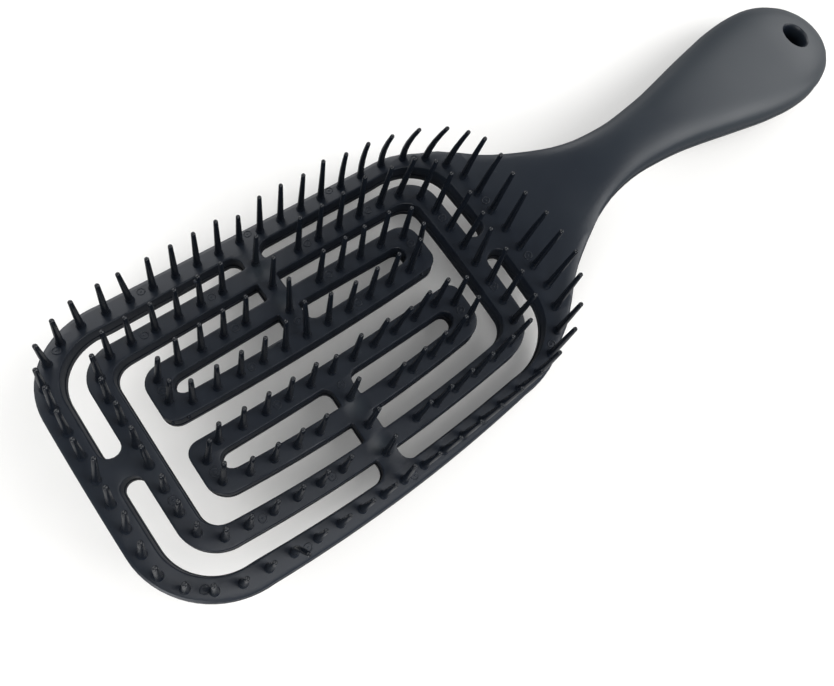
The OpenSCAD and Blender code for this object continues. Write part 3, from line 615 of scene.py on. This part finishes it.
start_fresh()
bpy.ops.mesh.primitive_torus_add(
    major_radius=ring_r, minor_radius=ring_thickness, major_segments=18, minor_segments=5)
mark = take(bpy.context.object, "mark")
start_fresh()
bpy.ops.mesh.primitive_uv_sphere_add(segments=8, ring_count=5, radius=dot_r)
dot = take(bpy.context.object, "dot")
dot.data.transform(Matrix.Scale(dot_flatness, 4, (0, 0, 1)))
join_to(mark, [dot])
bpy.ops.object.shade_smooth()
marks = []
for x, y in mark_places:
    copy = copy_of(mark)
    rise_x = face_z(x + 1, y) - face_z(x - 1, y)
    rise_y = face_z(x, y + 1) - face_z(x, y - 1)
    turn = Vector((-rise_x, -rise_y, 2)).to_track_quat("Z", "Y").to_matrix().to_4x4()
    copy.data.transform(Matrix.Translation((x, y, face_z(x, y))) @ turn)
    marks.append(copy)
bpy.data.objects.remove(mark)
join_to(head_front, marks)

# Moulding flash: torn scraps of plastic, about 1 mm, left on the edges of the loops and
# of the ring where the mould's halves met, and two on the end of one pin. With them
# the front moulding is whole.
scrap_places = [
    (-35.6, 2.9, 0), (-39.4, 3.4, 0), (6, -20.1, 0), (35.1, 3, 0), (-16.4, 28.3, 15.9),
    (-17.5, 27.8, 15.4)]
scrap_foot, scrap_tip, scrap_height = 0.55, 0.12, 0.9

scraps = []
for k, (x, y, lift) in enumerate(scrap_places):
    start_fresh()
    bpy.ops.mesh.primitive_cone_add(
        vertices=7, radius1=scrap_foot, radius2=scrap_tip, depth=scrap_height)
    scrap = take(bpy.context.object, "flash")
    bpy.ops.object.mode_set(mode="EDIT")
    bpy.ops.mesh.subdivide(number_cuts=1, smoothness=0.6, fractal=0.8, seed=k + 3)
    bpy.ops.object.mode_set(mode="OBJECT")
    bpy.ops.object.shade_smooth()
    low = face_z(x, y) + lift - scrap_height / 2
    scrap.data.transform(Matrix.Translation((x, y, low)))
    scraps.append(scrap)
join_to(head_front, scraps)
finish(head_front, front_black, front_nodes)

# Hanging hole: 8 mm, about 15 mm from the end of the grip, with rounded mouths. Its
# drill is a turned rod that widens at both faces and leans from its foot, 9 mm under
# the seam, so that at the seam it stands 0.6 mm nearer the end.
seat_zs = [(63.6, 6.44), (80.8, 11.82), (98, 17.2), (121.6, 19.84), (157, 19.4), (183.2, 18.4)]
drill_length, drill_r = 18, 6.2
mouth = [(2.4, 4.7), (2.8, 4.3), (3.2, 4.08), (3.8, 4)]
far_mouth = [(drill_length - z, r) for z, r in mouth[::-1]]
hole_drill = turned_rod(
    "hole_drill", 40, [(0, drill_r)] + mouth + far_mouth + [(drill_length, drill_r)])
drill_foot = Vector((hole_x, 0, along(seat_zs, hole_x) - drill_length / 2))
hole_drill.data.transform(
    Matrix.Translation(drill_foot) @ Matrix.Rotation(math.radians(hole_lean), 4, "Y"))

# Handle: the head's two mouldings run on as shells that meet at mid height. A section
# is a flat plate with rounded edges where it leaves the head and nearly round at the
# neck, and the grip is crowned with a tighter edge. The seam is a fine groove.
front_ts = [(63.6, 4), (98, 5.6), (157, 7.2), (183.2, 7.2)]
back_ts = [(63.6, 2), (98, 5.6), (157, 7.2), (183.2, 7.2)]
neck_length, plate_power, edge_drop = 34.4, 16, 0.26
bend_end_x, end_taper, round_by = 80, 0.7, 0.8
seam_depth, seam_step, least_y = 4, 0.03, 0.4
grip_rows, end_rows = 34, 22
arc = [0, 3, 8, 16, 26, 36, 45, 54, 62, 70, 77, 84, 90]
arc = [math.radians(a) for a in arc + [180 - a for a in arc[-2::-1]]]
crest, edge_last = len(arc) // 2, 5

# A side is which way it faces, its thickness, how far it stands in from the outline,
# how much of the plate's squareness is left at the neck, the radius of the plate's
# edge, and how deep the groove goes at the seam. Next to the head the front shell is
# as thick as the head's front, and the back one starts at nothing on the seam.
front_side = (1, front_ts, 0.3, 0.31, 1.2, 0.2)
back_side = (-1, back_ts, 0, 0.156, 0.9, 0.1)


def plate_point(k, wide, tall, r):
    j = min(k, len(arc) - 1 - k)
    if j > edge_last:
        y, rise = (wide - r) * (crest - j) / (crest - edge_last), 1
    else:
        turn = max(0, (j - 2) / 3) * math.pi / 2
        y, rise = wide - r * (1 - math.cos(turn)), 1 - r / tall * (1 - math.sin(turn))
        if j < 2:
            rise *= j / 2
    return (math.copysign(y, math.cos(arc[k])) if j < crest else 0), rise


def handle_point(x, k, side):
    up, thickness, inset, squareness, edge_r, _ = side
    wide = half_width(x) - inset
    tall = along(thickness, x) * end_round(x) ** end_taper
    to_neck = min(1, (x - joint_x) / neck_length)
    power = plate_power * squareness**to_neck
    c, s = math.cos(arc[k]), math.sin(arc[k])
    reach = (abs(c) ** power + abs(s) ** power) ** (-1 / power)
    y, rise = wide * c * reach, s * reach * (1 - edge_drop * (c * reach) ** 2)
    flat_y, flat_rise = plate_point(k, wide, tall, edge_r)
    share = smooth(to_neck, 0, round_by)
    y, rise = flat_y + (y - flat_y) * share, flat_rise + (rise - flat_rise) * share
    near = smooth(x, joint_x, bend_end_x)
    sag = (1 - to_neck) * y**2 / (2 * crown_r)
    on_head = min(x, bend_end_x)
    seam = along(seat_zs, x) - sag
    seat = face_z(on_head, y, seam_depth) * (1 - near) + seam * near
    skin_depth = 0 if up > 0 else seam_depth
    skin = face_z(on_head, y, skin_depth) * (1 - near) + (seam + up * tall) * near
    return Vector((x, y, seat + (skin - seat) * rise))


def handle_shell(name, side):
    up, groove = side[0], side[-1]
    first = joint_x + 1
    xs = [joint_x, first]
    xs += [first + (grip_x - first) * k / grip_rows for k in range(1, grip_rows + 1)]
    xs += [grip_x + end_length * math.sin(math.pi / 2 * k / end_rows)
           for k in range(1, end_rows + 1)]
    rows = len(arc) + 3
    start_fresh()
    bpy.ops.mesh.primitive_grid_add(x_subdivisions=len(xs) - 1, y_subdivisions=rows, size=2)
    piece = take(bpy.context.object, name)
    for vertex in piece.data.vertices:
        x = xs[round((vertex.co.x + 1) / 2 * (len(xs) - 1))]
        j = round((vertex.co.y + 1) / 2 * rows) % rows
        if 0 < j <= len(arc):
            vertex.co = handle_point(x, j - 1, side)
        elif j == len(arc) + 2:
            vertex.co = (x, 0, along(seat_zs, x))
        else:
            rim = handle_point(x, len(arc) - 1 if j else 0, side)
            rim.y *= 1 - groove / max(abs(rim.y), least_y)
            rim.z -= up * seam_step
            vertex.co = rim
    bpy.ops.object.mode_set(mode="EDIT")
    bpy.ops.mesh.select_all(action="SELECT")
    bpy.ops.mesh.remove_doubles(threshold=0.0005)
    bpy.ops.mesh.select_all(action="DESELECT")
    bpy.ops.mesh.select_non_manifold()
    bpy.ops.mesh.edge_face_add()
    bpy.ops.mesh.select_all(action="SELECT")
    bpy.ops.mesh.normals_make_consistent(inside=False)
    bpy.ops.object.mode_set(mode="OBJECT")
    cut = piece.modifiers.new("hanging_hole", "BOOLEAN")
    cut.operation = "DIFFERENCE"
    cut.solver = "EXACT"
    cut.object = hole_drill
    bpy.ops.object.modifier_apply(modifier="hanging_hole")
    bpy.ops.object.shade_smooth_by_angle(angle=math.radians(40))
    return piece


handle_front = handle_shell("handle_front", front_side)
finish(handle_front, front_black, ["handle_front_shell"])
handle_back = handle_shell("handle_back", back_side)
finish(handle_back, back_black, ["handle_back_shell"])
bpy.data.objects.remove(hole_drill)
